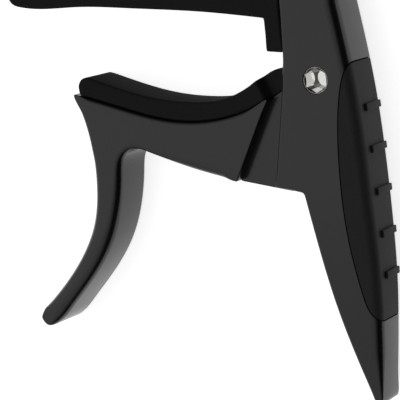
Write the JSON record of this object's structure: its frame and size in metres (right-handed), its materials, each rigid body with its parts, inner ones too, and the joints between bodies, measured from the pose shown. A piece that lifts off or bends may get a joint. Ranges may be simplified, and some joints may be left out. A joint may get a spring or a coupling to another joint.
{
  "type": "guitar capo",
  "caption": "Spring-clamp guitar capo: rubber-lined arm and jaw on one pivot, squeezed open by a trigger against a ribbed handle.",
  "frame": {"origin": "middle of the capo's outline on its rear side, on which it lies", "axes": "+X along the string arm from its tip towards the handle, +Y from the handle's end up to the arm, +Z through the thickness from the rear side to the front side"},
  "size_m": [0.0918, 0.0954, 0.0116],
  "materials": {
    "coated_casting": "satin black powder coat on die-cast zinc alloy",
    "black_rubber": "matte moulded silicone rubber",
    "grip_rubber": "soft-touch overmoulded rubber, slightly satin",
    "bright_steel": "turned and plated steel",
    "spring_steel": "drawn spring wire, lightly oiled",
    "nylon": "natural nylon"
  },
  "bodies": {
    "frame": {"frame_casting": "coated_casting", "string_pad": "black_rubber", "handle_grip": "grip_rubber", "pivot_pin": "bright_steel", "rear_washer": "nylon", "front_washer": "nylon", "torsion_spring": "spring_steel"},
    "jaw": {"jaw_casting": "coated_casting", "neck_pad": "black_rubber"}
  },
  "joints": [
    {"name": "jaw_pivot", "type": "hinge", "parent": "frame", "child": "jaw", "pos_m": [0.03085, 0.01963, 0.0058], "axis": [0, 0, 1], "range_deg": [0, 18], "stiffness_Nm_per_rad": 1.2, "springref_deg": -40.11, "deforming": ["torsion_spring"]}
  ]
}
